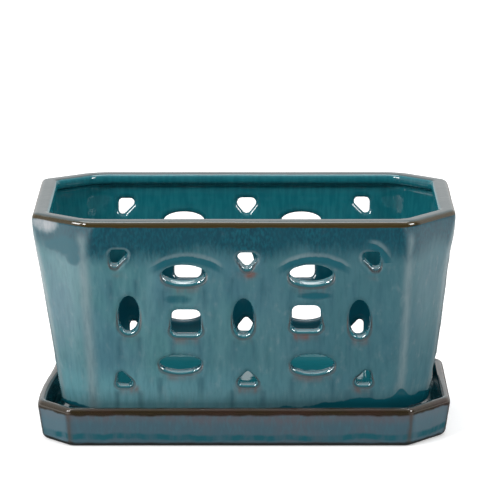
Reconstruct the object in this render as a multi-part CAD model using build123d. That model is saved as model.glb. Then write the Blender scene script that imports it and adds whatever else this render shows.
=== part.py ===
from build123d import *
import os
from math import radians, sqrt, tan

# Orchid pot with slotted walls, standing in its drip saucer.
# Millimetres, +Z up, +X along the long side.
# The origin is on the table, under the middle of the saucer.

# Pot: outside sizes at the rim, and height from its feet
rim_length = 280.0
rim_width = 170.0
rim_corner_cut = 33.0
pot_height = 144.0

# Walls of both pieces lean in towards the foot, in degrees from upright.
# They stay plain upright for this much below the rounding of their rim.
wall_lean = 8.4
rim_straight = 0.8

# Pot: walls, floor and the band at the top where the walls turn upright
wall = 7.0
upright_band = 18.0
floor_thickness = 9.0
base_round = 7.0
cove_round = 6.0

# Pot: the thick lip around the mouth
lip_width = 12.0
lip_height = 7.5
lip_round = 3.2

# Pot: four corner feet
foot_height = 11.0
foot_setback = 8.0
foot_width = 11.0
foot_run = 16.0
foot_round = 1.5

# Pot: drain holes through the floor
drain_diameter = 13.0
drain_spacing = 92.0
drain_round = 2.0

# Slots: the flat field of a wall that carries them starts this far above the pot's base
field_rise = 12.0

# Slots: rounding of their corners and of their soft outer edge
square_round = 4.5
triangle_round = 3.2
slot_edge_round = 2.0

# Slots: kind, column, row, width and height, as shares of the flat field of a wall.
# Columns and rows are counted from the field's middle, and a side column has a twin.
side_wall_shares = (
    ("oval", 0, 0.02, 0.07, 0.252),
    ("centre triangle", 0, 0.408, 0.11, 0.136),
    ("centre triangle", 0, -0.369, 0.11, 0.136),
    ("square", 0.191, 0.02, 0.0943, 0.189),
    ("oval", 0.2055, 0.32, 0.145, 0.136),
    ("oval", 0.2055, -0.282, 0.145, 0.136),
    ("oval", 0.3675, 0.02, 0.07, 0.252),
    ("corner triangle", 0.4014, 0.405, 0.089, 0.175),
    ("corner triangle", 0.3796, -0.369, 0.084, 0.17),
)
end_wall_shares = (
    ("square", 0, 0.02, 0.201, 0.189),
    ("oval", 0, 0.32, 0.31, 0.136),
    ("oval", 0, -0.282, 0.31, 0.136),
    ("oval", 0.32, 0.02, 0.15, 0.252),
    ("corner triangle", 0.385, 0.405, 0.185, 0.175),
    ("corner triangle", 0.346, -0.369, 0.175, 0.17),
)

# Saucer: an eight-sided tray, and the room between its rim and the pot's walls
saucer_end_gap = 8.6
saucer_side_gap = 6.1
saucer_corner_gap = 12.2
saucer_height = 27.0
saucer_wall = 6.3
saucer_floor = 7.0
saucer_upright_band = 6.0
saucer_lip_round = 2.8
saucer_base_round = 3.0
saucer_cove_round = 5.0
saucer_foot_height = 3.0
saucer_foot_width = 10.0

# A cut runs this far past the face that it opens, and edges this near a height lie at it
overrun = 5.0
level_tolerance = 0.01

# Heights over the table, and slopes, that follow from the sizes above
seat_height = saucer_foot_height + saucer_floor
rim_height = seat_height + pot_height
pot_base_height = seat_height + foot_height
pot_floor_height = pot_base_height + floor_thickness
lip_base_height = rim_height - lip_height
field_bottom = pot_base_height + field_rise
field_height = rim_height - upright_band - field_bottom
field_middle = field_bottom + field_height / 2
lean_slope = tan(radians(wall_lean))
band_slope = tan(radians(wall_lean / 2))

# How far below its rim each piece's walls start to turn, and where they reach their full lean
pot_turn = lip_round + rim_straight, upright_band
saucer_turn = saucer_lip_round + rim_straight, saucer_upright_band


def face_reaches(length, width, corner_cut):
    """Distances from the middle to an end, a side and a cut corner of an eight-sided rim."""
    end_reach = length / 2
    side_reach = width / 2
    corner_reach = (end_reach + side_reach - corner_cut) / sqrt(2)
    return end_reach, side_reach, corner_reach


def moved_in(reaches, inset):
    """The same eight-sided outline with every face moved in."""
    return tuple(reach - inset for reach in reaches)


def face_width(reach, corner_reach):
    """Width of the face at this reach, between the two cut corners."""
    return 2 * (corner_reach * sqrt(2) - reach)


def lean_inset(drop, turn):
    """How far in a wall stands at this drop below its top, where it has its full lean."""
    turn_start, turn_end = turn
    return (turn_end - turn_start) * band_slope + (drop - turn_end) * lean_slope


def upright_block(reaches, bottom, top):
    """Eight-sided block with upright faces."""
    end_reach, side_reach, corner_reach = reaches
    height = top - bottom
    length = 2 * (end_reach + side_reach)
    block = Box(2 * end_reach, 2 * side_reach, height)
    for angle in (45, -45):
        block = block & Rot(0, 0, angle) * Box(2 * corner_reach, length, height)
    return Pos(0, 0, (bottom + top) / 2) * block


def leaning_pair(reach, bottom, top, turn, bottom_round):
    """Long block whose two walls start upright at the top and turn to lean in below."""
    turn_start, turn_end = turn
    lean_reach = reach - lean_inset(turn_end, turn)
    bottom_reach = reach - lean_inset(top - bottom, turn)
    with BuildSketch(Plane.XZ) as section:
        with BuildLine():
            Line((0, bottom), (bottom_reach, bottom))
            Line((bottom_reach, bottom), (lean_reach, top - turn_end))
            TangentArc((reach, top - turn_start), (lean_reach, top - turn_end), tangent=(0, -1))
            Line((reach, top - turn_start), (reach, top))
            Line((reach, top), (0, top))
            mirror(about=Plane.YZ)
        make_face()
        fillet(section.vertices().sort_by(Axis.Y)[:2], bottom_round)
    return extrude(section.sketch, 2 * reach + overrun, both=True)


def leaning_block(reaches, bottom, top, turn, bottom_round):
    """Eight-sided block with leaning walls and a rounded lower edge."""
    end_reach, side_reach, corner_reach = reaches
    angles = ((end_reach, 0), (side_reach, 90), (corner_reach, 45), (corner_reach, -45))
    pairs = [
        Rot(0, 0, angle) * leaning_pair(reach, bottom, top, turn, bottom_round)
        for reach, angle in angles
    ]
    block = pairs[0]
    for pair in pairs[1:]:
        block = block & pair
    return block


def edges_at(solid, height):
    """Edges of a solid whose middles lie at one height."""
    low = height - level_tolerance
    high = height + level_tolerance
    return solid.edges().filter_by_position(Axis.Z, low, high)


def slot_outline(kind, width, height, side, rise):
    """One slot about its middle. Triangles have their flat edge on this side and this way up."""
    right = side * width / 2
    top = rise * height / 2
    if kind == "oval":
        return Ellipse(width / 2, height / 2)
    if kind == "square":
        return RectangleRounded(width, height, square_round)
    if kind == "corner triangle":
        points = (right, top), (-right, top), (right, -top)
    else:
        points = (-right, top), (right, top), (0, -top)
    return fillet(make_face(Polyline(*points, close=True)).vertices(), triangle_round)


def wall_slots(field_width, wall_shares):
    """All slots of one wall, seen square on, about the middle of its flat field."""
    slots = []
    for kind, column, row, width, height in wall_shares:
        rise = 1 if row > 0 else -1
        for side in (-1, 1) if column else (1,):
            outline = slot_outline(kind, width * field_width, height * field_height, side, rise)
            slots.append(Pos(side * column * field_width, row * field_height) * outline)
    return slots


def slot_cutters(reach, corner_reach, wall_shares):
    """Straight cutters that enter one wall from outside and end inside the pot."""
    middle_inset = lean_inset(rim_height - field_middle, pot_turn)
    field_width = face_width(reach - middle_inset, corner_reach - middle_inset)
    depth = overrun + lean_inset(rim_height - pot_floor_height, pot_turn) + 2 * wall
    start = Plane.XZ.offset(reach + overrun) * Pos(0, field_middle)
    return [extrude(start * slot, -depth) for slot in wall_slots(field_width, wall_shares)]


def with_slots(block, cutters_at_front, angles):
    """Cut the same slots into facing walls and soften their outer edges."""
    for angle in angles:
        cutters = [Rot(0, 0, angle) * cutter for cutter in cutters_at_front]
        slotted = block - cutters
        mouths = new_edges(block, *cutters, combined=slotted)
        block = fillet(mouths, slot_edge_round)
    return block


def corner_feet(base_reaches):
    """Four feet under the cut corners: a ring with its middle stretches left open."""
    outside = moved_in(base_reaches, foot_setback)
    inside = moved_in(outside, foot_width)
    top = pot_base_height + floor_thickness / 2
    ring = upright_block(outside, seat_height, top)
    ring -= upright_block(inside, seat_height, top)
    end_reach, side_reach, corner_reach = outside
    end_gap_width = face_width(end_reach, corner_reach) - 2 * foot_run
    side_gap_width = face_width(side_reach, corner_reach) - 2 * foot_run
    end_gap = Box(2 * rim_length, end_gap_width, 2 * rim_height)
    side_gap = Box(side_gap_width, 2 * rim_width, 2 * rim_height)
    feet = ring - end_gap - side_gap
    return fillet(edges_at(feet, seat_height), foot_round)


def drain_holes():
    """Cutters for the two holes along the middle of the floor."""
    centre_height = (pot_base_height + pot_floor_height) / 2
    hole = Cylinder(drain_diameter / 2, floor_thickness + 2 * overrun)
    return [Pos(side * drain_spacing / 2, 0, centre_height) * hole for side in (-1, 1)]


def make_pot():
    """Slotted pot: one fired piece with its lip, floor and feet."""
    reaches = face_reaches(rim_length, rim_width, rim_corner_cut)
    end_reach, side_reach, corner_reach = reaches
    base_inset = lean_inset(rim_height - pot_base_height, pot_turn)
    pot = leaning_block(reaches, pot_base_height, rim_height, pot_turn, base_round)
    pot = with_slots(pot, slot_cutters(side_reach, corner_reach, side_wall_shares), (0, 180))
    pot = with_slots(pot, slot_cutters(end_reach, corner_reach, end_wall_shares), (90, 270))

    cavity = leaning_block(
        moved_in(reaches, wall), pot_floor_height, rim_height, pot_turn, cove_round
    )
    lip_block = upright_block(reaches, lip_base_height, rim_height)
    mouth = upright_block(moved_in(reaches, lip_width), lip_base_height, rim_height)
    pot = pot - (cavity - lip_block) - mouth
    pot = fillet(edges_at(pot, rim_height), lip_round)
    pot = pot + corner_feet(moved_in(reaches, base_inset)) - drain_holes()
    drain_mouths = edges_at(pot, pot_floor_height).filter_by(GeomType.CIRCLE)
    return fillet(drain_mouths, drain_round)


def saucer_reaches():
    """Outside of the saucer's rim: the pot's walls at that height, then the gap and the wall."""
    pot_inset = lean_inset(rim_height - saucer_height, pot_turn)
    pot_reaches = moved_in(face_reaches(rim_length, rim_width, rim_corner_cut), pot_inset)
    gaps = saucer_end_gap, saucer_side_gap, saucer_corner_gap
    return tuple(reach + gap + saucer_wall for reach, gap in zip(pot_reaches, gaps))


def make_saucer():
    """Drip saucer: an eight-sided tray on a low foot ring."""
    reaches = saucer_reaches()
    base_inset = lean_inset(saucer_height, saucer_turn)
    tray = leaning_block(reaches, 0, saucer_height, saucer_turn, saucer_base_round)
    inside = moved_in(reaches, saucer_wall)
    basin = leaning_block(inside, seat_height, saucer_height, saucer_turn, saucer_cove_round)
    recess = moved_in(reaches, base_inset + saucer_base_round + saucer_foot_width)
    tray = tray - basin - upright_block(recess, 0, saucer_foot_height)
    return fillet(edges_at(tray, saucer_height), saucer_lip_round)


os.makedirs("parts", exist_ok=True)
for name, piece in (("pot", make_pot()), ("saucer", make_saucer())):
    piece.label = name
    export_step(piece, f"parts/{name}.step")
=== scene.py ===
import math

import bpy
import numpy as np
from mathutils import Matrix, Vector


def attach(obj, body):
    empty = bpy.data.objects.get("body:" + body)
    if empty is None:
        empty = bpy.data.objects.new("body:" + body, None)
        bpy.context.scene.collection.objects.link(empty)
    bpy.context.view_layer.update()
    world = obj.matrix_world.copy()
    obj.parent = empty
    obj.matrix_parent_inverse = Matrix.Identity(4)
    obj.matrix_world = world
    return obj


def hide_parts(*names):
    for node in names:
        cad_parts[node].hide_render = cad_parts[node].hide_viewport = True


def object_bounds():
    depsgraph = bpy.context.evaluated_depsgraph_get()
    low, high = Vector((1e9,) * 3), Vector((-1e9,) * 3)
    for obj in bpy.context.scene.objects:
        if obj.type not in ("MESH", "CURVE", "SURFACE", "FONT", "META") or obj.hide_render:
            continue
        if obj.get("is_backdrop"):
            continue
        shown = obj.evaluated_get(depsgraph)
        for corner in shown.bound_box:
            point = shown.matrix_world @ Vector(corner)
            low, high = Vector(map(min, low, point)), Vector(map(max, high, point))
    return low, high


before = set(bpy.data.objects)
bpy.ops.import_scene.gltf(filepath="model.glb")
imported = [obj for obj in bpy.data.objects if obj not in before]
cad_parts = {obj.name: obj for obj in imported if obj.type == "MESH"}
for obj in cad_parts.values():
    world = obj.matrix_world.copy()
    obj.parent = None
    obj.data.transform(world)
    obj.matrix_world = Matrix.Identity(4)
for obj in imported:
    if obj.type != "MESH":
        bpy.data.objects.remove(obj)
cad_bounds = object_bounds()

# Metres in a millimetre: shapes below are worked out in millimetres
MM = 0.001

# How much each corner is cut off the long side and off the end, with the corner named as
# (right, rear). All four differ on this hand-made pot.
POT_CUTS = {
    (False, False): (33.0, 27.0), (True, False): (30.0, 38.0),
    (False, True): (35.0, 26.0), (True, True): (32.0, 27.0),
}
SAUCER_CUTS = {
    (False, False): (21.0, 23.0), (True, False): (27.0, 31.0),
    (False, True): (24.0, 24.0), (True, True): (24.0, 26.0),
}

# Pot, as in the part's source
RIM_LENGTH = 280.0
RIM_WIDTH = 170.0
RIM_CORNER_CUT = 33.0
RIM_TOP = 154.0
POT_BASE = 21.0
FLOOR_TOP = 30.0
SEAT = 10.0
WALL = 7.0
LIP_WIDTH = 12.0
LIP_HEIGHT = 7.5
POT_TURN = (4.0, 18.0)
LEAN_SLOPE = math.tan(math.radians(8.4))
FOOT_SETBACK = 8.0
FOOT_WIDTH = 11.0
FOOT_RUN = 16.0
DRAIN_RADIUS = 6.5
DRAIN_PLACE = 46.0

# Saucer, as in the part's source
SAUCER_GAPS = (8.6, 6.1, 12.2)
SAUCER_TOP = 27.0
SAUCER_WALL = 6.3
SAUCER_TURN = (3.6, 6.0)
SAUCER_RECESS = 3.0
SAUCER_FOOT_WIDTH = 10.0
SAUCER_BASE_ROUND = 3.0

# Flat field of the walls that carries the slots
FIELD_BOTTOM = 33.0
FIELD_TOP = 136.0
FIELD_HEIGHT = FIELD_TOP - FIELD_BOTTOM
FIELD_MIDDLE = (FIELD_TOP + FIELD_BOTTOM) / 2

# Slots: kind, column, row, width and height, as shares of the field, as in the part's source
SIDE_WALL_SHARES = (
    ("oval", 0, 0.02, 0.07, 0.252),
    ("centre triangle", 0, 0.408, 0.11, 0.136),
    ("centre triangle", 0, -0.369, 0.11, 0.136),
    ("square", 0.191, 0.02, 0.0943, 0.189),
    ("oval", 0.2055, 0.32, 0.145, 0.136),
    ("oval", 0.2055, -0.282, 0.145, 0.136),
    ("oval", 0.3675, 0.02, 0.07, 0.252),
    ("corner triangle", 0.4014, 0.405, 0.089, 0.175),
    ("corner triangle", 0.3796, -0.369, 0.084, 0.17),
)
END_WALL_SHARES = (
    ("square", 0, 0.02, 0.201, 0.189),
    ("oval", 0, 0.32, 0.31, 0.136),
    ("oval", 0, -0.282, 0.31, 0.136),
    ("oval", 0.32, 0.02, 0.15, 0.252),
    ("corner triangle", 0.385, 0.405, 0.185, 0.175),
    ("corner triangle", 0.346, -0.369, 0.175, 0.17),
)

# How far in the slots are cut, the share of the field above which a row counts as a top one,
# how much more steeply the front wall's top rows run inwards, and how flat the squares are
SLOT_DEPTH = 25.0
TOP_ROWS = 0.2
UPPER_TILT = 0.22
SQUARE_FLATTENING = 0.9

# How far each slot of a long wall was cut from its place, right and up, and how much closer in
# its edge lies all round. Each entry of the table above has its left slot first.
FRONT_SLIPS = (
    ((-0.5, 1.0, 0.9),),
    ((1.8, -1.2, 1.3),),
    ((2.4, -0.6, 2.0),),
    ((1.3, -2.6, 0.7), (1.3, 0.3, 0.7)),
    ((2.9, -0.4, 1.4), (1.3, -0.6, 1.2)),
    ((0.4, -0.4, 1.8), (2.5, -0.7, 1.2)),
    ((0.2, 3.0, 0.9), (-0.2, 0.2, 0.9)),
    ((3.6, -0.6, 1.5), (-2.6, -2.2, 1.3)),
    ((2.2, 0.6, 2.0), (-2.4, 1.3, 1.9)),
)
REAR_SLIPS = (
    ((0.0, 2.0, 0.8),),
    ((1.4, 2.4, 1.0),),
    ((1.2, 2.6, 1.6),),
    ((0.0, 2.0, 0.8), (0.0, 2.0, 0.8)),
    ((0.4, 2.0, 1.2), (-3.0, 2.0, 1.3)),
    ((0.0, 2.0, 0.9), (0.0, 2.0, 0.9)),
    ((0.0, 2.0, 0.8), (0.0, 2.0, 0.8)),
    ((3.6, 0.8, 1.4), (-4.2, 1.6, 1.4)),
    ((6.0, 1.6, 1.6), (-3.0, 2.6, 1.6)),
)

# The end walls' slots wander a little, and their side columns lie further in. The front one of
# the right wall lies in the most, clear of the wide front corner.
END_WANDER = 0.8
END_TRIM = 1.0
END_INWARD = 1.0
WIDE_CORNER_INWARD = 5.5

# The pot's right end stands out towards the foot: how far, and where that starts and ends
# across the pot and down from the rim
STAND_OUT = 2.4
STAND_OUT_ACROSS = (60.0, 110.0)
STAND_OUT_DROP = (15.0, 100.0)

# The saucer's left end sagged inwards towards the rear: how far, and where that starts and ends
SAG = 6.5
SAG_LEFT = (60.0, 130.0)
SAG_REAR = (-40.0, 60.0)

# Softness of the fired clay, as the stretch over which two faces melt together
RIM_END_BLEND = 2.0
RIM_SIDE_BLEND = 7.0
BASE_CORNER_BLEND = 9.0
LIP_BLEND = 4.2
MOUTH_BLEND = 3.0
BASE_BLEND = 3.5
COVE_BLEND = 8.0
SLOT_BLEND = 4.4
DRAIN_BLEND = 3.2
FOOT_BLEND = 2.0
SAUCER_CORNER_BLEND = 2.2
SAUCER_EDGE_BLEND = 4.0
SAUCER_COVE_BLEND = 7.0
RECESS_BLEND = 2.0
RECESS_EDGE_BLEND = 1.5
SQUARE_ROUND = 4.5
TRIANGLE_ROUND = 3.8

# Drop below the rim over which the corners soften, and distance off the middle of the pot
# over which the rim's corners change from those at the ends to those at the sides
CORNERS_SOFTEN = (4.0, 45.0)
CORNERS_BY_SIDE = (64.0, 80.0)

# The mouth is cut this far down past the lip, into the wider room below it, and the feet reach
# this far up into the floor
MOUTH_OVERLAP = 6.0
FOOT_ROOT = 4.0

# Unevenness of the clay, with its own waves for the saucer, and the bead of glaze round each slot
WAVE_DEPTH = 0.3
SAUCER_WAVE_SHIFT = 40
SAUCER_TOP_WAVES = 1.5
SLOT_BEAD = 0.2
SLOT_BEAD_PLACE = 4.2
SLOT_BEAD_WIDTH = 2.6

# Single patches: the middle, the reach and the strength of each. The teal ones are in the glaze;
# the pale one is painted light and the glow one a painted highlight, both on the left corner face.
PATCHES = {
    "pale": (
        ((-122.0, -72.0, 95.0), (19.0, 16.0, 62.0), 0.15),
    ),
    "glow": (
        ((-131.0, -66.0, 148.5), (11.0, 13.0, 6.5), 0.9),
    ),
    "teal": (
        ((-116.0, -74.0, 136.0), (12.0, 15.0, 8.0), 0.8),
        ((-112.0, -78.0, 128.0), (6.0, 12.0, 6.0), 0.75),
        ((-126.0, -66.0, 135.0), (7.0, 10.0, 4.5), 0.7),
        ((-44.0, -76.0, 100.5), (13.0, 12.0, 4.0), 0.55),
        ((46.0, -76.0, 103.0), (13.0, 12.0, 3.0), 0.8),
        ((0.0, 85.0, 136.0), (30.0, 20.0, 7.0), 0.8),
    ),
}

# The pool of glaze at the foot: its height, how much higher it is to the right and at the left
# end, and one tongue that stands up from it
POOL_TOP = 22.0
POOL_RIGHT_RISE = 9.0
POOL_RIGHT = (0.0, 95.0)
POOL_LEFT_RISE = 4.0
POOL_LEFT = (95.0, 125.0)
TONGUE_RISE = 6.0
TONGUE_PLACE = 104.0
TONGUE_WIDTH = 4.0
POOL_RIPPLE = 1.2
POOL_REACH = 9.0

# Marks round the slots, each from where it starts to where it is full. LOW runs from 0 at a
# slot's middle to 1 at its bottom, OFF is the distance outside its edge, and ACROSS is a share of
# its half width. A trail runs down from under each side of a slot. At a slot's sides its lip has
# only a share of the width that it has below.
LIP_SIDE_WIDTH = 0.55
LIP_WIDENS_LOW = (0.1, 0.9)
LOWER_LOW = (-0.6, 0.5)
LOWER_OFF = (9.0, 5.0)
SILL_LOW = (0.2, 0.8)
SILL_OFF = (5.0, 3.0)
UPPER_LOW = (-0.1, -0.8)
UPPER_OFF = (10.0, 6.0)
DRIP_LOW = (0.7, 1.1)
DRIP_ACROSS = (1.0, 0.6)
DRIP_OFF = 4.4
DRIP_WIDTH = 2.4
OVAL_DRIP = 0.45
TRAIL_START = (1.0, 4.0)
TRAIL_END = (26.0, 8.0)
TRAIL_ACROSS = 0.9
TRAIL_WIDTH = 1.7

# Painted reflections in arches over the upper ovals and over the upper right corner triangles. An
# oval's runs this high over its middle, a little to the right of it, and falls off to both sides.
ARCH_SHIFT = 2.0
ARCH_REACH = 30.0
ARCH_TOP = 10.4
ARCH_FALL = 5.6
ARCH_FALL_AT = 20.0
ARCH_ENDS = (26.0, 17.0)
CORNER_ARCH_REACH = (-6.0, 20.0)
CORNER_ARCH_TOP = 12.5
CORNER_ARCH_CURVE = 0.059
CORNER_ARCH_START = (-2.0, 5.0)
CORNER_ARCH_END = (17.0, 12.0)

# How far round a slot its shape and its marks reach, what stands for far from an arch, and the
# share of an oval within which its distance is held level
SHAPE_MARGIN = 16.0
MARK_MARGIN = 30.0
FAR_FROM_ARCH = 20.0
OVAL_CORE = 0.5

# Where the outer walls' marks start and are full, and how wide an upright corner's mark is
WALL_MARK = (-3.2, -1.4)
CORNER_MARK_WIDTH = 2.6
SAUCER_WALL_MARK = (-4.5, -2.5)
SAUCER_CORNER_MARK_WIDTH = 1.2
SAUCER_CUT_MARK = (0.0, 4.0)

# Spacing of the meshes and the boxes that hold them
POT_SPACING = 1.8
POT_BOX = (-144.0, -89.0, 6.0), (144.0, 89.0, 158.0)
SAUCER_SPACING = 1.6
SAUCER_BOX = (-142.0, -84.0, -4.0), (142.0, 84.0, 31.0)

# Steps for measuring a field's slope, its normals and the sharpness of its edges. A point moves
# at most half a spacing in each round while it settles on the surface.
SLOPE_STEP = 0.05
NORMAL_STEP = 0.15
EDGE_STEP = 2.0
LEAST_SLOPE = 0.05
SETTLING_ROUNDS = 4
LONGEST_MOVE = 0.5


def soft_max(a, b, blend):
    """The larger of two values, with a smooth change from one to the other."""
    nearness = np.maximum(blend - np.abs(a - b), 0.0) / blend
    return np.maximum(a, b) + nearness * nearness * blend / 4


def soft_min(a, b, blend):
    """The smaller of two values, with a smooth change from one to the other."""
    return -soft_max(-a, -b, blend)


def smooth_step(value, start, end):
    """0 before the start, 1 after the end and a smooth rise between them."""
    t = np.clip((value - start) / (end - start), 0.0, 1.0)
    return t * t * (3 - 2 * t)


def hill(value, middle, width):
    """1 at the middle, and 0.37 one width away on both sides."""
    return np.exp(-(((value - middle) / width) ** 2))


def face_reaches(length, width, corner_cut):
    """Distances from the middle to an end, a side and a cut corner of an eight-sided rim."""
    end_reach = length / 2
    side_reach = width / 2
    return end_reach, side_reach, (end_reach + side_reach - corner_cut) / math.sqrt(2)


def lean_inset(drop, turn):
    """How far in a wall stands at this drop below its top: upright, then turning, then leaning."""
    turn_start, turn_end = turn
    run = np.clip(drop - turn_start, 0.0, turn_end - turn_start)
    curve = LEAN_SLOPE / 2 * run * run / (turn_end - turn_start)
    return curve + LEAN_SLOPE * np.maximum(drop - turn_end, 0.0)


def wall_distances(x, y, reaches, cuts=None):
    """Distance outside the straight walls of an eight-sided outline, and outside its cut corners.

    The cuts are those of each corner, or else all four corners are cut alike."""
    end_reach, side_reach, corner_reach = reaches
    across = np.abs(x)
    along = np.abs(y)
    straight = np.maximum(across - end_reach, along - side_reach)
    if cuts is None:
        return straight, (across + along) / math.sqrt(2) - corner_reach
    slanted = np.empty(x.shape)
    for (right, rear), (off_side, off_end) in cuts.items():
        here = ((x > 0) == right) & ((y > 0) == rear)
        length = math.hypot(off_side, off_end)
        level = (end_reach - off_side) * off_end + side_reach * off_side
        slanted[here] = (across[here] * off_end + along[here] * off_side - level) / length
    return straight, slanted


def eight_sides(x, y, reaches, corner_blend, cuts=None):
    """Distance outside an upright eight-sided outline with softened corners."""
    straight, slanted = wall_distances(x, y, reaches, cuts)
    return soft_max(straight, slanted, corner_blend)


def waviness(x, y, z):
    """Slow unevenness of hand-finished clay, between 0 and 1."""
    wave = np.sin(x / 23 + 0.7 * np.sin(z / 31)) * np.cos(y / 19 + z / 37)
    wave += 0.6 * np.sin(x / 11 + y / 13 + 1.9) * np.sin(z / 17 + x / 29 + 0.4)
    return 0.5 + wave / 3.2


POT_REACHES = face_reaches(RIM_LENGTH, RIM_WIDTH, RIM_CORNER_CUT)
END_REACH, SIDE_REACH, CORNER_REACH = POT_REACHES
FIELD_INSET = float(lean_inset(RIM_TOP - FIELD_MIDDLE, POT_TURN))


def field_width(reach):
    """Width of a wall's flat field at its middle height."""
    return 2 * ((CORNER_REACH - FIELD_INSET) * math.sqrt(2) - (reach - FIELD_INSET))


def slip(axis, facing, entry, side):
    """How far one slot lies off its place, along the wall and up, and how much closer in its edge
    lies all round."""
    if axis == 1:
        slips = FRONT_SLIPS if facing < 0 else REAR_SLIPS
        return slips[entry][-1 if side > 0 else 0]
    along = END_WANDER * math.sin(2.1 * entry + side)
    in_side_column = END_WALL_SHARES[entry][1] > 0
    if in_side_column:
        by_wide_corner = facing > 0 and side < 0
        along -= side * (WIDE_CORNER_INWARD if by_wide_corner else END_INWARD)
    return along, END_WANDER * math.cos(3.7 * entry + facing), END_TRIM


def slot_list():
    """Every slot: its wall's axis, side and reach, then its kind, row, place, height, half sizes,
    turn and how much closer in its edge lies."""
    slots = []
    for axis, reach, shares in ((1, SIDE_REACH, SIDE_WALL_SHARES), (0, END_REACH, END_WALL_SHARES)):
        width = field_width(reach)
        for facing in (-1, 1):
            for entry, (kind, column, row, wide, high) in enumerate(shares):
                for side in (-1, 1) if column else (1,):
                    along, up, trim = slip(axis, facing, entry, side)
                    place = side * column * width + along
                    height = FIELD_MIDDLE + row * FIELD_HEIGHT + up
                    half = wide * width / 2, high * FIELD_HEIGHT / 2
                    if kind == "square":
                        half = half[0], half[1] * SQUARE_FLATTENING
                    turn = side, 1 if row > 0 else -1
                    wall = axis, facing, reach
                    slots.append((wall, kind, row, place, height, half, turn, trim))
    return slots


SLOTS = slot_list()


def triangle_distance(u, v, corners):
    """Distance outside a triangle whose corners are rounded."""
    corners = np.array(corners)
    sides = np.linalg.norm(np.roll(corners, -1, axis=0) - np.roll(corners, 1, axis=0), axis=1)
    middle = (corners * sides[:, None]).sum(0) / sides.sum()
    edges = np.roll(corners, -1, axis=0) - corners
    area = abs(edges[0, 0] * edges[1, 1] - edges[0, 1] * edges[1, 0])
    corners = middle + (corners - middle) * (1 - TRIANGLE_ROUND * sides.sum() / area)
    nearest = np.full(u.shape, np.inf)
    inside = np.ones(u.shape, dtype=bool)
    for start, end in zip(corners, np.roll(corners, -1, axis=0)):
        run = end - start
        share = np.clip(((u - start[0]) * run[0] + (v - start[1]) * run[1]) / (run @ run), 0.0, 1.0)
        off_u = u - start[0] - share * run[0]
        off_v = v - start[1] - share * run[1]
        nearest = np.minimum(nearest, np.hypot(off_u, off_v))
        inside &= (run[0] * (v - start[1]) - run[1] * (u - start[0])) <= 0
    return np.where(inside, -nearest, nearest) - TRIANGLE_ROUND


def slot_distance(kind, u, v, half, turn):
    """Distance outside one slot's outline, from its own middle."""
    half_width, half_height = half
    side, rise = turn
    if kind == "oval":
        ring = np.maximum(np.hypot(u / half_width, v / half_height), OVAL_CORE)
        steepness = np.hypot(u / half_width**2, v / half_height**2)
        return ring * (ring - 1) / np.maximum(steepness, OVAL_CORE / max(half))
    if kind == "square":
        across = np.abs(u) - half_width + SQUARE_ROUND
        along = np.abs(v) - half_height + SQUARE_ROUND
        corner = np.hypot(np.maximum(across, 0.0), np.maximum(along, 0.0))
        return corner + np.minimum(np.maximum(across, along), 0.0) - SQUARE_ROUND
    left_end, right_end = (-half_width, half_height), (half_width, half_height)
    if kind == "corner triangle":
        return triangle_distance(u * side, v * rise, (left_end, right_end, (half_width, -half_height)))
    return triangle_distance(u, v * rise, (left_end, right_end, (0.0, -half_height)))


def stood_out(x, z):
    """Across, as if the pot's right end didn't stand out a little towards the foot."""
    return x - STAND_OUT * smooth_step(x, *STAND_OUT_ACROSS) * smooth_step(RIM_TOP - z, *STAND_OUT_DROP)


def near_slots(x, y, z, margin):
    """For each slot, what it is, the points near it and where they lie: distance outside its
    outline, then along the wall and up from its middle. The slots are cut square to the wall."""
    places = (x, y)
    outward = (stood_out(x, z), y)
    inset = lean_inset(RIM_TOP - z, POT_TURN)
    for wall, kind, row, place, height, half, turn, trim in SLOTS:
        axis, facing, reach = wall
        depth = reach - inset - outward[axis] * facing
        u = places[1 - axis] - place
        in_front = axis == 1 and facing < 0
        tilt = LEAN_SLOPE + (UPPER_TILT if row > TOP_ROWS and in_front else 0.0)
        v = z - height - tilt * depth
        near = (depth < SLOT_DEPTH) & (np.abs(u) < half[0] + margin) & (np.abs(v) < half[1] + margin)
        index = np.flatnonzero(near)
        if len(index):
            distance = slot_distance(kind, u[index], v[index], half, turn) + trim
            yield kind, row, half, turn, index, distance, u[index], v[index]


def pot_outline(x, y, z):
    """Distance outside the pot's rim, with corners that soften towards the foot."""
    softness = smooth_step(RIM_TOP - z, *CORNERS_SOFTEN)
    by_side = smooth_step(np.abs(y), *CORNERS_BY_SIDE)
    corner_blend = RIM_END_BLEND + (RIM_SIDE_BLEND - RIM_END_BLEND) * by_side
    corner_blend += (BASE_CORNER_BLEND - corner_blend) * softness
    return eight_sides(stood_out(x, z), y, POT_REACHES, corner_blend, POT_CUTS)


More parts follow.
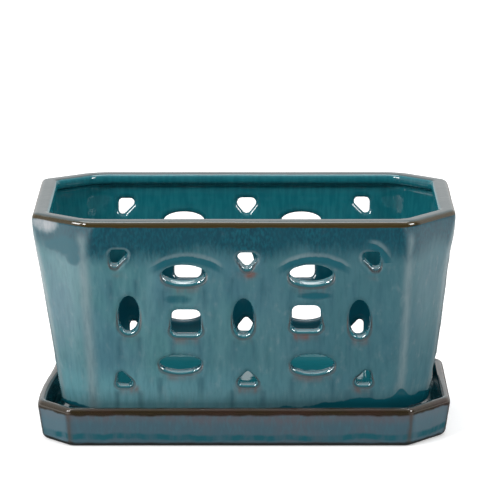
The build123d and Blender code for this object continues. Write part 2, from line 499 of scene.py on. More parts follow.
def pot_field(x, y, z):
    """Distance outside the pot's clay, in millimetres."""
    inset = lean_inset(RIM_TOP - z, POT_TURN)
    outside = pot_outline(x, y, z)
    cavity = outside + inset + WALL
    mouth = outside + LIP_WIDTH
    outside = outside + inset + WAVE_DEPTH * waviness(x, y, z)

    slots = [(index, distance) for *_, index, distance, _, _ in near_slots(x, y, z, SHAPE_MARGIN)]
    for index, distance in slots:
        outside[index] -= SLOT_BEAD * hill(distance, SLOT_BEAD_PLACE, SLOT_BEAD_WIDTH)

    top = z - RIM_TOP + WAVE_DEPTH * waviness(y, x, z)
    block = soft_max(outside, top, LIP_BLEND)
    block = soft_max(block, POT_BASE - z, BASE_BLEND)
    cavity = soft_max(cavity, z - (RIM_TOP - LIP_HEIGHT), MOUTH_BLEND)
    cavity = soft_max(cavity, FLOOR_TOP - z, COVE_BLEND)
    mouth = np.maximum(mouth, RIM_TOP - LIP_HEIGHT - MOUTH_OVERLAP - z)
    room = soft_min(cavity, mouth, MOUTH_BLEND)
    clay = soft_max(block, -room, LIP_BLEND)
    for index, distance in slots:
        clay[index] = soft_max(clay[index], -distance, SLOT_BLEND)

    clay = soft_min(clay, feet_field(x, y, z), FOOT_BLEND)
    drain = np.hypot(np.abs(x) - DRAIN_PLACE, y) - DRAIN_RADIUS
    return soft_max(clay, -drain, DRAIN_BLEND)


def feet_field(x, y, z):
    """Distance outside the four feet under the cut corners."""
    setback = float(lean_inset(RIM_TOP - POT_BASE, POT_TURN)) + FOOT_SETBACK
    end_reach, side_reach, corner_reach = (reach - setback for reach in POT_REACHES)
    outline = eight_sides(x, y, (end_reach, side_reach, corner_reach), FOOT_BLEND)
    ring = np.maximum(outline, -FOOT_WIDTH - outline)
    end_corner = corner_reach * math.sqrt(2) - end_reach
    side_corner = corner_reach * math.sqrt(2) - side_reach
    inward = np.minimum(np.abs(x) - side_corner + FOOT_RUN, np.abs(y) - end_corner + FOOT_RUN)
    feet = soft_max(ring, -inward, FOOT_BLEND)
    feet = soft_max(feet, SEAT - z, 2 * FOOT_BLEND)
    return soft_max(feet, z - (POT_BASE + FOOT_ROOT), FOOT_BLEND)


def saucer_reaches():
    """Outside of the saucer's rim: the pot's walls at that height, then the gap and the wall."""
    pot_inset = float(lean_inset(RIM_TOP - SAUCER_TOP, POT_TURN))
    return tuple(
        reach - pot_inset + gap + SAUCER_WALL for reach, gap in zip(POT_REACHES, SAUCER_GAPS)
    )


def pulled(x, y):
    """Across, as if the saucer's left end hadn't sagged inwards towards the rear."""
    return x - SAG * smooth_step(-x, *SAG_LEFT) * smooth_step(y, *SAG_REAR)


def saucer_field(x, y, z):
    """Distance outside the saucer's clay, in millimetres."""
    inset = lean_inset(SAUCER_TOP - z, SAUCER_TURN)
    outline = eight_sides(pulled(x, y), y, saucer_reaches(), SAUCER_CORNER_BLEND, SAUCER_CUTS)
    outside = outline + inset + WAVE_DEPTH * waviness(x, y, z + SAUCER_WAVE_SHIFT)
    basin = outline + inset + SAUCER_WALL
    top = z - SAUCER_TOP + SAUCER_TOP_WAVES * WAVE_DEPTH * waviness(y, x, z)
    block = soft_max(outside, top, SAUCER_EDGE_BLEND)
    block = soft_max(block, -z, SAUCER_EDGE_BLEND)
    basin = soft_max(basin, SEAT - z, SAUCER_COVE_BLEND)
    clay = soft_max(block, -basin, SAUCER_EDGE_BLEND)
    full_inset = float(lean_inset(SAUCER_TOP, SAUCER_TURN))
    recess = outline + full_inset + SAUCER_BASE_ROUND + SAUCER_FOOT_WIDTH
    recess = soft_max(recess, z - SAUCER_RECESS, RECESS_BLEND)
    return soft_max(clay, -recess, RECESS_EDGE_BLEND)


def both_ways(field, points, axis, step):
    """The field one step ahead of some points along an axis, and one step behind them."""
    shift = np.zeros(3)
    shift[axis] = step
    return field(*(points + shift).T), field(*(points - shift).T)


def slopes(field, points, step):
    """The field's gradient at some points."""
    columns = []
    for axis in range(3):
        ahead, behind = both_ways(field, points, axis, step)
        columns.append((ahead - behind) / (2 * step))
    return np.stack(columns, axis=1)


def net_over(field, low, high, spacing):
    """Points and four-sided faces of a net drawn over the field's surface."""
    axes = [np.arange(start, end + spacing, spacing) for start, end in zip(low, high)]
    x, y, z = np.meshgrid(*axes, indexing="ij")
    values = field(x.ravel(), y.ravel(), z.ravel()).reshape(x.shape)
    cell_shape = np.array(values.shape) - 1
    total = int(np.prod(cell_shape))
    weight = np.zeros(total)
    sums = np.zeros((3, total))
    rings = []
    for axis in range(3):
        first = np.take(values, range(cell_shape[axis]), axis=axis)
        second = np.take(values, range(1, cell_shape[axis] + 1), axis=axis)
        crossing = (first < 0) != (second < 0)
        edges = np.argwhere(crossing)
        share = first[crossing] / (first[crossing] - second[crossing])
        where = edges.astype(float)
        where[:, axis] += share
        u, v = (axis + 1) % 3, (axis + 2) % 3
        corners = []
        for step_u, step_v in ((-1, -1), (0, -1), (0, 0), (-1, 0)):
            cell = edges.copy()
            cell[:, u] += step_u
            cell[:, v] += step_v
            flat = np.ravel_multi_index(tuple(cell.T), tuple(cell_shape), mode="clip")
            weight += np.bincount(flat, minlength=total)
            for side in range(3):
                sums[side] += np.bincount(flat, weights=where[:, side], minlength=total)
            corners.append(flat)
        ring = np.stack(corners, axis=1)
        leaving = first[crossing] < 0
        rings.append(np.where(leaving[:, None], ring, ring[:, ::-1]))
    used = np.flatnonzero(weight)
    number = np.zeros(total, dtype=int)
    number[used] = np.arange(len(used))
    points = (sums[:, used] / weight[used]).T * spacing + np.array([axis[0] for axis in axes])
    return points, number[np.concatenate(rings)]


def settled(field, points, spacing):
    """The points moved onto the field's surface, and the surface's normals there."""
    for _ in range(SETTLING_ROUNDS):
        gradient = slopes(field, points, SLOPE_STEP)
        size = np.maximum((gradient**2).sum(1), LEAST_SLOPE)
        step = np.clip(field(*points.T) / size, -LONGEST_MOVE * spacing, LONGEST_MOVE * spacing)
        points = points - step[:, None] * gradient
    gradient = slopes(field, points, NORMAL_STEP)
    return points, gradient / np.linalg.norm(gradient, axis=1)[:, None]


def edge_strength(field, points, reach):
    """How sharply the surface turns outwards around each point, or inwards if below zero."""
    middle = field(*points.T)
    around = np.zeros(len(points))
    for axis in range(3):
        ahead, behind = both_ways(field, points, axis, reach)
        around += ahead + behind - 2 * middle
    return around / reach


def placed(name, data):
    """A new object in the scene."""
    made = bpy.data.objects.new(name, data)
    bpy.context.scene.collection.objects.link(made)
    return made


def clay_piece(name, body, node, field, box, spacing):
    """A finished mesh that stands for a CAD node, and its points in millimetres."""
    points, quads = net_over(field, *box, spacing)
    points, normals = settled(field, points, spacing)
    mesh = bpy.data.meshes.new(name)
    mesh.from_pydata(points * MM, [], quads)
    mesh.polygons.foreach_set("use_smooth", np.ones(len(quads), dtype=bool))
    mesh.update()
    piece = placed(name, mesh)
    store(mesh, "edge", edge_strength(field, points, EDGE_STEP))
    mesh.normals_split_custom_set_from_vertices(normals.tolist())
    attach(piece, body)
    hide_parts(node)
    return piece, points


def store(mesh, name, values):
    """Keeps one number for each point of a mesh."""
    attribute = mesh.attributes.new(name, "FLOAT", "POINT")
    attribute.data.foreach_set("value", np.asarray(values, dtype=np.float32))


def arch_over(kind, row, turn, u, v):
    """Which points near a slot its arch of painted reflection reaches, how far above the arch's line
    they lie, and how strong it is there. None for a slot without an arch."""
    if kind == "oval" and row > TOP_ROWS:
        from_middle = u - ARCH_SHIFT
        above = v - ARCH_TOP + ARCH_FALL * (from_middle / ARCH_FALL_AT) ** 2
        return np.abs(from_middle) < ARCH_REACH, above, smooth_step(np.abs(from_middle), *ARCH_ENDS)
    if kind == "corner triangle" and row > 0 and turn[0] > 0:
        start, end = CORNER_ARCH_REACH
        steepness = np.hypot(1.0, 2 * CORNER_ARCH_CURVE * u)
        above = (v - CORNER_ARCH_TOP + CORNER_ARCH_CURVE * u**2) / steepness
        strength = smooth_step(u, *CORNER_ARCH_START) * smooth_step(u, *CORNER_ARCH_END) * (v > 0)
        return (u > start) & (u < end) & (v > 0), above, strength
    return None


def slot_facts(mesh, points, walls):
    """Marks, for the glaze, how far the slots' edges and arches are, and their parts.

    The lips are narrower at the sides of a slot than below it."""
    lip = np.full(len(points), MARK_MARGIN)
    bow = np.full(len(points), FAR_FROM_ARCH)
    names = "lower", "upper", "sill", "drip", "trail", "ends"
    facts = {name: np.zeros(len(points)) for name in names}
    for kind, row, half, turn, index, distance, u, v in near_slots(*points.T, MARK_MARGIN):
        across = np.abs(u) / half[0]
        low = -v / half[1]
        below = -v - half[1]
        lip_width = LIP_SIDE_WIDTH + (1 - LIP_SIDE_WIDTH) * smooth_step(low, *LIP_WIDENS_LOW)
        lip[index] = np.minimum(lip[index], distance / lip_width)
        drip = smooth_step(low, *DRIP_LOW) * smooth_step(across, *DRIP_ACROSS)
        drip = drip * hill(distance, DRIP_OFF, DRIP_WIDTH) * (OVAL_DRIP if kind == "oval" else 1.0)
        trail = smooth_step(below, *TRAIL_START) * smooth_step(below, *TRAIL_END)
        marks = {
            "lower": smooth_step(low, *LOWER_LOW) * smooth_step(distance, *LOWER_OFF),
            "sill": smooth_step(low, *SILL_LOW) * smooth_step(distance, *SILL_OFF),
            "drip": drip,
            "trail": trail * hill(np.abs(u), TRAIL_ACROSS * half[0], TRAIL_WIDTH),
        }
        arch = arch_over(kind, row, turn, u, v)
        if arch is not None:
            close, above, marks["ends"] = arch
            bow[index[close]] = above[close]
        if "triangle" in kind and row > 0:
            marks["upper"] = smooth_step(low, *UPPER_LOW) * smooth_step(distance, *UPPER_OFF)
        for name, values in marks.items():
            facts[name][index] = np.maximum(facts[name][index], values)
    store(mesh, "lip", lip)
    store(mesh, "bow", bow)
    for name, values in facts.items():
        store(mesh, name, values * walls)


def wall_facts(mesh, points):
    """Marks the outer walls, their upright corners where a highlight is painted, the pool of glaze at
    their foot, and patches of glaze and of painted light.

    Gives back how much each point belongs to the outside."""
    x, y, z = points.T
    inset = lean_inset(RIM_TOP - z, POT_TURN)
    straight, slanted = wall_distances(stood_out(x, z), y, POT_REACHES, POT_CUTS)
    walls = smooth_step(pot_outline(x, y, z) + inset, *WALL_MARK)
    corner = hill(straight - slanted, 0.0, CORNER_MARK_WIDTH)
    pool_top = POOL_TOP + POOL_RIGHT_RISE * smooth_step(x, *POOL_RIGHT)
    pool_top += POOL_LEFT_RISE * smooth_step(-x, *POOL_LEFT)
    pool_top += TONGUE_RISE * hill(x, TONGUE_PLACE, TONGUE_WIDTH)
    pool_top += POOL_RIPPLE * np.sin(x / 5.3) * np.sin(y / 7.1 + x / 17.0)
    store(mesh, "outside", walls)
    store(mesh, "corner", corner * walls)
    store(mesh, "pool", np.clip(pool_top - z, -POOL_REACH, POOL_REACH))
    for name, patches in PATCHES.items():
        strength = np.zeros(len(points))
        for centre, spread, most in patches:
            off = (points - np.array(centre)) / np.array(spread)
            strength = np.maximum(strength, most * np.exp(-((off**2).sum(1) ** 2)))
        store(mesh, name, strength * walls)
    return walls


def saucer_facts(mesh, points):
    """Marks the saucer's outer walls, their upright corners and the cut ones between them."""
    x, y, z = points.T
    inset = lean_inset(SAUCER_TOP - z, SAUCER_TURN)
    straight, slanted = wall_distances(pulled(x, y), y, saucer_reaches(), SAUCER_CUTS)
    walls = smooth_step(np.maximum(straight, slanted) + inset, *SAUCER_WALL_MARK)
    store(mesh, "outside", walls)
    store(mesh, "corner", hill(straight - slanted, 0.0, SAUCER_CORNER_MARK_WIDTH) * walls)
    store(mesh, "cut", smooth_step(slanted - straight, *SAUCER_CUT_MARK) * walls)


pot, pot_points = clay_piece("glazed_pot", "pot", "pot", pot_field, POT_BOX, POT_SPACING)
slot_facts(pot.data, pot_points, wall_facts(pot.data, pot_points))
saucer, saucer_points = clay_piece(
    "glazed_saucer", "saucer", "saucer", saucer_field, SAUCER_BOX, SAUCER_SPACING
)
saucer_facts(saucer.data, saucer_points)


class Nodes:
    """Short way to write a material's node tree."""

    def __init__(self, tree):
        self.tree = tree
        tree.nodes.clear()

    def add(self, kind, settings=None, **inputs):
        """One node. Inputs are sockets to join or plain values, named with underscores."""
        made = self.tree.nodes.new(kind)
        for key, value in (settings or {}).items():
            setattr(made, key, value)
        for key, value in inputs.items():
            slot = int(key[1:]) if key[1:].isdigit() else key.replace("_", " ")
            self.feed(made.inputs[slot], value)
        return made

    def feed(self, socket, value):
        """Joins a socket to another one, or gives it a plain value."""
        if isinstance(value, bpy.types.NodeSocket):
            self.tree.links.new(value, socket)
        else:
            socket.default_value = value

    def math(self, operation, a, b):
        """Two values taken together."""
        return self.add("ShaderNodeMath", {"operation": operation}, _0=a, _1=b).outputs[0]

    def sum(self, a, b):
        return self.math("ADD", a, b)

    def times(self, a, b):
        return self.math("MULTIPLY", a, b)

    def less(self, a, b):
        return self.math("SUBTRACT", a, b)

    def larger(self, a, b):
        return self.math("MAXIMUM", a, b)

    def rise(self, value, start, end, low=0.0, high=1.0):
        """A smooth change from low at the start to high at the end."""
        made = self.add(
            "ShaderNodeMapRange", {"interpolation_type": "SMOOTHSTEP"},
            Value=value, From_Min=start, From_Max=end, To_Min=low, To_Max=high,
        )
        return made.outputs[0]

    def between(self, value, rising, falling):
        """1 between two smooth changes, and 0 before and after them."""
        return self.times(self.rise(value, *rising), self.rise(value, *falling))

    def mix(self, share, a, b):
        """Colour a, and b where the share is 1."""
        made = self.add("ShaderNodeMix", {"data_type": "RGBA"})
        self.feed(made.inputs[0], share)
        self.feed(made.inputs[6], a)
        self.feed(made.inputs[7], b)
        return made.outputs[2]

    def noise(self, place, scale, detail, squeeze=1.0, shift=(0.0, 0.0, 0.0)):
        """Noise between about 0 and 1. Scale is in features per metre, and a squeeze below 1 draws
        them out upwards."""
        stretch = (1.0, 1.0, squeeze)
        moved = self.add("ShaderNodeMapping", Vector=place, Location=shift, Scale=stretch)
        made = self.add(
            "ShaderNodeTexNoise", Vector=moved.outputs[0], Scale=scale, Detail=detail, Roughness=0.55
        )
        return made.outputs[0]

    def attribute(self, name):
        """One number that was stored for each point of the mesh."""
        return self.add("ShaderNodeAttribute", {"attribute_name": name}).outputs["Fac"]


def new_material(name):
    """A material, its empty node tree and the place on the object in metres."""
    material = bpy.data.materials.new(name)
    material.use_nodes = True
    nodes = Nodes(material.node_tree)
    return material, nodes, nodes.add("ShaderNodeTexCoord").outputs["Object"]


def colour(red, green, blue):
    """A colour from its linear red, green and blue."""
    return red, green, blue, 1.0


DEEP_TEAL = colour(0.003, 0.056, 0.082)
DARK_TEAL = colour(0.002, 0.040, 0.062)
BRIGHT_TEAL = colour(0.003, 0.092, 0.124)
# Deep teal of the pools and spots in the glaze, and of the painted arches of reflection
ARCH_TEAL = colour(0.004, 0.086, 0.116)
SILL_TEAL = colour(0.003, 0.140, 0.175)
INNER_TEAL = colour(0.010, 0.145, 0.175)
INNER_DEEP = colour(0.004, 0.105, 0.135)
# The veil's colours are partly the glaze's own and partly a painted reflection of the pale floor
VEIL_BLUE = colour(0.056, 0.155, 0.195)
VEIL_GREEN = colour(0.060, 0.180, 0.198)
PALE_VEIL = colour(0.098, 0.225, 0.252)
LOW_PAINTED_REFLECTION = colour(0.120, 0.305, 0.350)
# Darker veil: painted shade towards the pot's right, and the glaze's trails under the slots
TRAIL_AND_SHADE_VEIL = colour(0.036, 0.112, 0.142)
PINK_VEIL = colour(0.170, 0.245, 0.265)
PAINTED_HIGHLIGHT_PINK = colour(0.330, 0.350, 0.370)
OLIVE_BROWN = colour(0.040, 0.028, 0.008)
DARK_BROWN = colour(0.028, 0.013, 0.007)
CORNER_BROWN = colour(0.075, 0.058, 0.048)
RED_BROWN = colour(0.160, 0.062, 0.044)
LINE_BROWN = colour(0.048, 0.031, 0.029)
PINK_BROWN = colour(0.140, 0.120, 0.115)
RIM_GREY = colour(0.032, 0.056, 0.060)
SAUCER_BROWN = colour(0.022, 0.014, 0.004)
SAUCER_BLUE = colour(0.054, 0.110, 0.142)
SAUCER_MAUVE = colour(0.088, 0.100, 0.120)
SAUCER_PAINTED_REFLECTION = colour(0.120, 0.190, 0.225)
SAUCER_POOL = colour(0.010, 0.096, 0.124)
FOOT_GREY = colour(0.018, 0.026, 0.026)

# Heights, in metres, between which the pot's glaze and its painted light and shade change
VEIL_START = (0.162, 0.146)
CORNER_LINE_START = (0.149, 0.140)
LOW_REFLECTION_START = (0.060, 0.028)
PINK_VEIL_START = (0.042, 0.026)
INNER_SHADE = (0.120, 0.080)
INNER_FLOOR = (0.050, 0.036)
RIM_BAND = (0.1500, 0.1508)
RIM_CREST = (0.1533, 0.1538)

# From the middle of the pot, in metres: where the veil gets darker to the right with painted shade,
# and where the rim's brown band rises a little at both ends, and by how much
VEIL_DARKENS = (-0.09, 0.08)
BAND_RISES = (0.100, 0.118, 0.0, 0.0011)

# Distances outside a slot's edge, in millimetres, between which the glaze on its lip changes.
# Where two more numbers follow, they are the strengths before and after the change.
LIP_VEIL = (0.2, 2.6)
LIP_ROLL = (3.0, 2.0)
LIP_LINE = (1.7, 2.6), (4.4, 3.1)
LIP_RING = (2.2, 3.2), (7.6, 4.8)
LIP_BEAD = (0.3, 1.3), (2.9, 1.6)
LIP_THICK = (4.6, 3.2)
LIP_THIN_EDGE = (4.0, 7.0, 0.15, 0.8)

# Distances above an arch's line, in millimetres: the arch and the pale line over it, both painted
# reflection
ARCH_BAND = (-3.0, 0.4), (4.0, 3.0)
ARCH_HALO = (3.2, 4.2), (7.6, 5.0)

# Heights, in metres, between which the saucer's glaze changes
MAUVE_START = (0.019, 0.027)
SAUCER_POOL_BAND = (0.0086, 0.0106), (0.0148, 0.0126)
SAUCER_RIM_BAND = (0.0224, 0.0242)
SAUCER_RIM_CREST = (0.0266, 0.0270)
BARE_FOOT = (0.0044, 0.0030)

# Roughness of the glazes and of the saucer's bare foot, how strongly the glaze and its thick
# clear layer bend light, and the height of ripples and beads in metres
POT_ROUGHNESS = 0.05
SAUCER_ROUGHNESS = 0.09
FOOT_ROUGHNESS = 0.4
GLAZE_IOR = 1.7
THICK_GLAZE_IOR = 1.95
THICK_GLAZE_ROUGHNESS = 0.03
RIPPLE_HEIGHT = 0.0006


def glossy_glaze(nodes, place, base_colour, roughness, bead=None, thick=None):
    """The shader both glazes share: smooth glass with a faint ripple. At the slots the pot's also
    has beads and a thick clear layer."""
    ripple = nodes.noise(place, 70.0, 2.0)
    fine = nodes.noise(place, 420.0, 2.0)
    height = nodes.sum(ripple, nodes.times(fine, 0.08))
    bump = nodes.add("ShaderNodeBump", Strength=0.25, Distance=RIPPLE_HEIGHT, Height=height)
    normal = bump.outputs[0]
    if bead is not None:
        bump = nodes.add(
            "ShaderNodeBump", Strength=1.0, Distance=RIPPLE_HEIGHT, Height=bead, Normal=normal
        )
        normal = bump.outputs[0]
    layer = {}
    if thick is not None:
        layer = {
            "Coat_Weight": thick,
            "Coat_Roughness": THICK_GLAZE_ROUGHNESS,
            "Coat_IOR": THICK_GLAZE_IOR,
            "Coat_Normal": normal,
        }
    shader = nodes.add(
        "ShaderNodeBsdfPrincipled", Base_Color=base_colour, Roughness=roughness, IOR=GLAZE_IOR,
        Normal=normal, **layer,
    )
    nodes.add("ShaderNodeOutputMaterial", Surface=shader.outputs[0])


def pot_glaze():
    """Teal glaze with a paler veil that runs down the walls and breaks brown at the edges, with
    painted light, shade and reflections on the veil.
    """
    material, nodes, place = new_material("pot_glaze")
    parts = nodes.add("ShaderNodeSeparateXYZ", Vector=place).outputs
    across, height = parts[0], parts[2]
    names = "edge", "outside", "corner", "pool", "pale", "glow", "teal"
    edge, outside, corner, pool, pale, glow, teal = (nodes.attribute(name) for name in names)
    names = "lip", "bow", "ends", "lower", "upper", "sill", "drip", "trail"
    lip, bow, ends, lower, upper, sill, drip, trail = (nodes.attribute(name) for name in names)

    # Lobes and streaks that run down the walls, fine mottles, large blotches and ragged edges
    lobes = nodes.noise(place, 26.0, 2.0, 0.4)
    streaks = nodes.noise(place, 75.0, 3.0, 0.12)
    fine_streaks = nodes.noise(place, 420.0, 3.0, 0.14)
    mottles = nodes.noise(place, 700.0, 3.0, 0.45, (0.5, 0.2, 0.1))
    blotches = nodes.noise(place, 30.0, 3.0, 0.6, (0.3, 0.1, 0.7))
    ragged = nodes.noise(place, 210.0, 3.0, 0.6, (0.1, 0.8, 0.4))

    # Deep teal that shows where the veil hasn't formed
    deep = nodes.mix(nodes.rise(mottles, 0.38, 0.66), DARK_TEAL, BRIGHT_TEAL)
    deep = nodes.mix(nodes.rise(blotches, 0.30, 0.70, 0.25, 0.75), deep, DEEP_TEAL)

    # Painted reflection: arches over the upper ovals and right corners, with a pale line along their
    # tops, and pale rings round the upper triangles
    rough_bow = nodes.sum(bow, nodes.times(ragged, 1.6))
    arch = nodes.times(nodes.between(rough_bow, *ARCH_BAND), ends)
    halo = nodes.times(nodes.between(rough_bow, *ARCH_HALO), ends)
    ring = nodes.between(lip, *LIP_RING)
    halo = nodes.larger(halo, nodes.times(ring, nodes.times(upper, 0.8)))

    # The veil starts a little below the rim, in lobes, and is broken by arches, pools and slots
    wander = nodes.sum(nodes.times(lobes, 0.030), nodes.times(fine_streaks, 0.014))
    veil = nodes.rise(nodes.sum(height, wander), *VEIL_START)
    veil = nodes.larger(veil, nodes.times(halo, 0.7))
    # Painted highlight at the top of the left corner face, and painted light over that face
    painted_highlight_patch = nodes.rise(nodes.sum(glow, nodes.times(ragged, 0.9)), 0.45, 1.40)
    veil = nodes.larger(veil, nodes.larger(pale, painted_highlight_patch))
    # Painted highlight up the upright corners
    veil = nodes.larger(veil, nodes.times(corner, nodes.rise(height, *CORNER_LINE_START, 0.0, 0.8)))
    puddle = nodes.rise(nodes.sum(pool, nodes.times(ragged, 3.0)), 0.6, 1.8)
    spot = nodes.rise(nodes.sum(teal, nodes.times(ragged, 0.5)), 0.46, 0.96, 0.0, 0.95)
    rolled = nodes.times(sill, nodes.rise(lip, *LIP_ROLL))
    covered = nodes.larger(nodes.times(arch, 0.9), spot)
    covered = nodes.larger(covered, nodes.larger(puddle, nodes.times(rolled, 0.9)))
    deep = nodes.mix(nodes.larger(arch, nodes.larger(puddle, spot)), deep, ARCH_TEAL)
    veil = nodes.times(veil, nodes.less(1.0, covered))
    veil = nodes.times(nodes.times(veil, outside), nodes.rise(lip, *LIP_VEIL))
    veil = nodes.times(veil, nodes.rise(fine_streaks, 0.30, 0.62, 0.80, 1.0))

    # The veil is paler at the left and darker to the right, a painted shade, and paler low down, a
    # painted reflection of the floor. It is palest in streaks, and along the corners and over the
    # arches, where highlights are painted.
    veil_colour = nodes.mix(nodes.rise(blotches, 0.36, 0.62), VEIL_BLUE, VEIL_GREEN)
    veil_colour = nodes.mix(nodes.rise(streaks, 0.40, 0.72, 0.0, 0.75), veil_colour, PALE_VEIL)
    # Painted reflection of the floor makes the veil paler near the foot
    painted_reflection_low = nodes.rise(height, *LOW_REFLECTION_START, 0.0, 0.9)
    veil_colour = nodes.mix(painted_reflection_low, veil_colour, LOW_PAINTED_REFLECTION)
    # Painted shade: the veil darkens towards the right
    painted_shade_right = nodes.rise(across, *VEIL_DARKENS, 0.0, 0.7)
    veil_colour = nodes.mix(painted_shade_right, veil_colour, TRAIL_AND_SHADE_VEIL)
    veil_colour = nodes.mix(nodes.times(trail, 0.8), veil_colour, TRAIL_AND_SHADE_VEIL)
    at_foot = nodes.rise(height, *PINK_VEIL_START, 0.0, 0.1)
    veil_colour = nodes.mix(at_foot, veil_colour, PINK_VEIL)
    # Painted highlights along the corners and over the arches, and painted light on the left corner
    # face
    painted_light_marks = nodes.larger(nodes.times(corner, 0.8), nodes.larger(nodes.times(halo, 0.7), pale))
    veil_colour = nodes.mix(painted_light_marks, veil_colour, PINK_VEIL)
    veil_colour = nodes.mix(painted_highlight_patch, veil_colour, PAINTED_HIGHLIGHT_PINK)
    glaze = nodes.mix(veil, deep, veil_colour)

    # Streaky teal inside, with painted shade that darkens it low down, and lighter over the floor
    inner = nodes.mix(nodes.rise(fine_streaks, 0.35, 0.65, 0.3, 1.0), INNER_DEEP, INNER_TEAL)
    inner = nodes.mix(nodes.rise(height, *INNER_SHADE, 0.0, 0.85), inner, DARK_TEAL)
    inner = nodes.mix(nodes.rise(height, *INNER_FLOOR), inner, INNER_TEAL)
    glaze = nodes.mix(outside, inner, glaze)

    # Thin glaze over edges shows the brown body, and drips of it run below the slots
    brown = nodes.mix(nodes.rise(blotches, 0.40, 0.60), OLIVE_BROWN, PINK_BROWN)
    run = nodes.times(drip, nodes.rise(streaks, 0.43, 0.59, 0.2, 1.0))
    run = nodes.times(run, nodes.rise(lobes, 0.40, 0.52, 0.4, 1.0))
    glaze = nodes.mix(run, glaze, RED_BROWN)
    glaze = nodes.mix(nodes.times(rolled, 0.85), glaze, SILL_TEAL)
    line = nodes.between(lip, *LIP_LINE)
    line = nodes.times(line, nodes.less(lower, nodes.times(sill, 0.6)))
    glaze = nodes.mix(nodes.times(line, 0.9), glaze, LINE_BROWN)
    thin = nodes.rise(nodes.sum(edge, nodes.times(fine_streaks, 0.20)), 0.70, 0.95)
    glaze = nodes.mix(nodes.times(thin, nodes.rise(lip, *LIP_THIN_EDGE)), glaze, brown)
    from_middle = nodes.larger(across, nodes.times(across, -1.0))
    rim_line = nodes.sum(height, nodes.times(streaks, 0.0015))
    rim_line = nodes.less(rim_line, nodes.rise(from_middle, *BAND_RISES))
    band = nodes.times(outside, nodes.rise(rim_line, *RIM_BAND))
    glaze = nodes.mix(band, glaze, OLIVE_BROWN)
    crest = nodes.rise(nodes.sum(height, nodes.times(streaks, 0.0006)), *RIM_CREST)
    glaze = nodes.mix(crest, glaze, RIM_GREY)

    # Glaze gathers in a thin bead round the lower half of each slot
    bead = nodes.times(nodes.between(lip, *LIP_BEAD), lower)
    thick = nodes.times(lower, nodes.rise(lip, *LIP_THICK))
    glossy_glaze(nodes, place, glaze, POT_ROUGHNESS, bead, thick)
    return material


def saucer_glaze():
    """Grey-blue glaze with a mauve cast, teal where it pools and brown at the edges, and painted
    reflection on its cut corner faces.
    """
    material, nodes, place = new_material("saucer_glaze")
    height = nodes.add("ShaderNodeSeparateXYZ", Vector=place).outputs[2]
    names = "edge", "corner", "outside", "cut"
    edge, corner, outside, cut = (nodes.attribute(name) for name in names)

    streaks = nodes.noise(place, 90.0, 3.0, 0.3)
    fine_streaks = nodes.noise(place, 420.0, 3.0, 0.3)
    blotches = nodes.noise(place, 22.0, 2.0, 0.8, (0.2, 0.6, 0.4))
    wander = nodes.noise(place, 38.0, 4.0, 0.2, (0.9, 0.2, 0.4))

    # Grey-blue, mauve higher up, paler on the cut corner faces with painted reflection, and a band of
    # teal where the glaze pooled near the foot
    low = nodes.sum(height, nodes.times(wander, 0.009))
    mauve = nodes.sum(nodes.rise(low, *MAUVE_START), nodes.rise(blotches, 0.42, 0.66, 0.0, 0.6))
    body = nodes.mix(mauve, SAUCER_BLUE, SAUCER_MAUVE)
    body = nodes.mix(nodes.rise(fine_streaks, 0.42, 0.75, 0.0, 0.35), body, VEIL_BLUE)
    body = nodes.mix(nodes.times(cut, 0.45), body, SAUCER_PAINTED_REFLECTION)
    pool = nodes.between(low, *SAUCER_POOL_BAND)
    pool = nodes.times(pool, nodes.rise(streaks, 0.34, 0.58, 0.35, 1.0))
    body = nodes.mix(pool, body, SAUCER_POOL)
    inner = nodes.mix(nodes.rise(fine_streaks, 0.40, 0.65), DEEP_TEAL, INNER_TEAL)
    body = nodes.mix(outside, inner, body)

    # Thin glaze shows the brown body along the rim, the edges and the upright corners
    brown = nodes.mix(nodes.rise(blotches, 0.40, 0.60), SAUCER_BROWN, DARK_BROWN)
    rim_line = nodes.sum(height, nodes.times(streaks, 0.003))
    band = nodes.times(outside, nodes.rise(rim_line, *SAUCER_RIM_BAND))
    thin = nodes.rise(nodes.sum(edge, nodes.times(fine_streaks, 0.25)), 0.60, 0.85)
    body = nodes.mix(nodes.larger(band, thin), body, brown)
    body = nodes.mix(nodes.times(corner, 0.8), body, CORNER_BROWN)
    crest = nodes.rise(nodes.sum(height, nodes.times(streaks, 0.0006)), *SAUCER_RIM_CREST)
    body = nodes.mix(crest, body, RIM_GREY)

    # The foot ring is bare and rough
    bare = nodes.rise(nodes.sum(height, nodes.times(streaks, 0.002)), *BARE_FOOT)
    body = nodes.mix(bare, body, FOOT_GREY)
    roughness = nodes.rise(bare, 0.2, 0.8, SAUCER_ROUGHNESS, FOOT_ROUGHNESS)
    glossy_glaze(nodes, place, body, roughness)
    return material


pot.data.materials.append(pot_glaze())
saucer.data.materials.append(saucer_glaze())


# Floor: its reach each way, where it is mirrored bright at the left and the right, and where it
# gets whiter away from the pot, in metres
FLOOR_REACH = 3.0
FLOOR_LEFT = (-0.17, -0.32)
FLOOR_RIGHT = (0.18, 0.40)
FLOOR_FADES = (0.4, 1.4)
DARK_PAPER = colour(0.10, 0.10, 0.10)
PALE_PAPER = colour(0.86, 0.86, 0.86)
WHITE = colour(1, 1, 1)

# Soft lights: name, place, height aimed at, width and height, in metres, and power in watts
SOFT_BOXES = (
    ("key", (-1.1, -1.3, 1.5), 0.08, 0.26, 0.28, 9.6),
    ("left", (-1.25, -0.7, 1.05), 0.1, 0.6, 0.5, 13.5),
    ("right", (1.25, -0.7, 1.05), 0.1, 0.6, 0.5, 12.0),
    ("top", (0.0, 0.2, 1.6), 0.1, 1.2, 0.8, 11.2),
)

# Camera: how far off, how high above level, the point looked at and the lens and film width
CAMERA_DISTANCE = 2.38357
CAMERA_ELEVATION = math.radians(12.5)
CAMERA_TARGET = Vector((0.00381, 0.0, 0.11619))
CAMERA_LENS = 253.97
CAMERA_FILM = 36.0


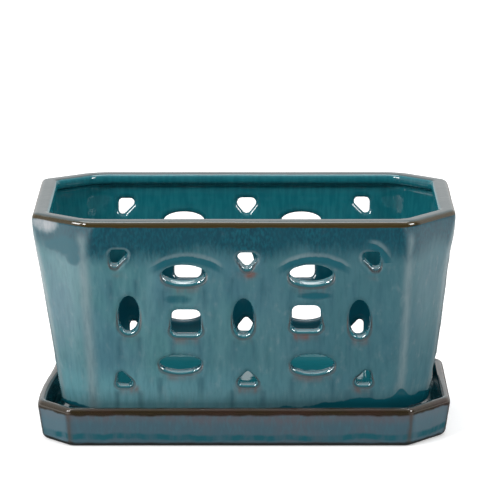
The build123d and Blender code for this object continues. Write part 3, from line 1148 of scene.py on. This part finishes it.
def pale_floor():
    """A pale floor that looks white to the camera. The glaze mirrors it bright at the two sides
    and dark in the middle."""
    corners = [(x * FLOOR_REACH, y * FLOOR_REACH, 0.0) for x, y in ((-1, -1), (1, -1), (1, 1), (-1, 1))]
    mesh = bpy.data.meshes.new("floor")
    mesh.from_pydata(corners, [], [(0, 1, 2, 3)])
    floor = placed("floor", mesh)
    material, nodes, place = new_material("floor")
    path = nodes.add("ShaderNodeLightPath").outputs
    across = nodes.add("ShaderNodeSeparateXYZ", Vector=place).outputs[0]
    away = nodes.add("ShaderNodeVectorMath", {"operation": "LENGTH"}, _0=place).outputs["Value"]
    left = nodes.rise(across, *FLOOR_LEFT, 0.0, 0.8)
    side = nodes.larger(left, nodes.rise(across, *FLOOR_RIGHT, 0.0, 0.6))
    mirrored = nodes.mix(side, DARK_PAPER, PALE_PAPER)
    paper = nodes.mix(path["Is Glossy Ray"], PALE_PAPER, mirrored)
    shade = nodes.add("ShaderNodeBsdfDiffuse", Color=paper)
    level = nodes.times(path["Is Camera Ray"], nodes.rise(away, *FLOOR_FADES, 0.3, 1.0))
    glow = nodes.add("ShaderNodeEmission", Color=WHITE, Strength=level)
    both = nodes.add("ShaderNodeAddShader", _0=shade.outputs[0], _1=glow.outputs[0])
    nodes.add("ShaderNodeOutputMaterial", Surface=both.outputs[0])
    mesh.materials.append(material)
    floor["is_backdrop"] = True


def studio_world():
    """White to the camera. Reflections see it bright behind, to the left and above, and dim in
    front."""
    world = bpy.data.worlds.new("studio")
    bpy.context.scene.world = world
    world.use_nodes = True
    nodes = Nodes(world.node_tree)
    direction = nodes.add("ShaderNodeTexCoord").outputs["Generated"]
    parts = nodes.add("ShaderNodeSeparateXYZ", Vector=direction).outputs
    behind = nodes.rise(parts[1], -0.1, 0.35, 0.1, 0.8)
    left = nodes.rise(parts[0], -0.35, -0.95, 0.0, 0.6)
    above = nodes.rise(parts[2], 0.45, 0.95, 0.0, 0.6)
    level = nodes.larger(nodes.larger(behind, left), above)
    seen = nodes.add("ShaderNodeLightPath").outputs["Is Camera Ray"]
    strength = nodes.larger(level, seen)
    sky = nodes.add("ShaderNodeBackground", Color=WHITE, Strength=strength)
    nodes.add("ShaderNodeOutputWorld", Surface=sky.outputs[0])


def aimed(holder, place, direction):
    """Puts a light or the camera in its place, facing one way."""
    holder.location = place
    holder.rotation_euler = direction.to_track_quat("-Z", "Y").to_euler()


def soft_box(name, place, target_height, width, height, power):
    """A rectangular soft light that faces the pot."""
    light = bpy.data.lights.new(name, "AREA")
    light.shape = "RECTANGLE"
    light.size = width
    light.size_y = height
    light.energy = power
    aimed(placed(name, light), place, Vector((0, 0, target_height)) - Vector(place))


def camera():
    """The main camera, looking a little down on the front from far away."""
    data = bpy.data.cameras.new("camera")
    data.lens = CAMERA_LENS
    data.sensor_width = CAMERA_FILM
    holder = placed("camera", data)
    back = Vector((0.0, -math.cos(CAMERA_ELEVATION), math.sin(CAMERA_ELEVATION)))
    aimed(holder, CAMERA_TARGET + CAMERA_DISTANCE * back, -back)
    bpy.context.scene.camera = holder


pale_floor()
studio_world()
for soft_box_values in SOFT_BOXES:
    soft_box(*soft_box_values)
camera()
bpy.context.scene.view_settings.view_transform = "Standard"

corners = {"cad": cad_bounds, "visual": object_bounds()}
{name: [list(corner) for corner in pair] for name, pair in corners.items()}
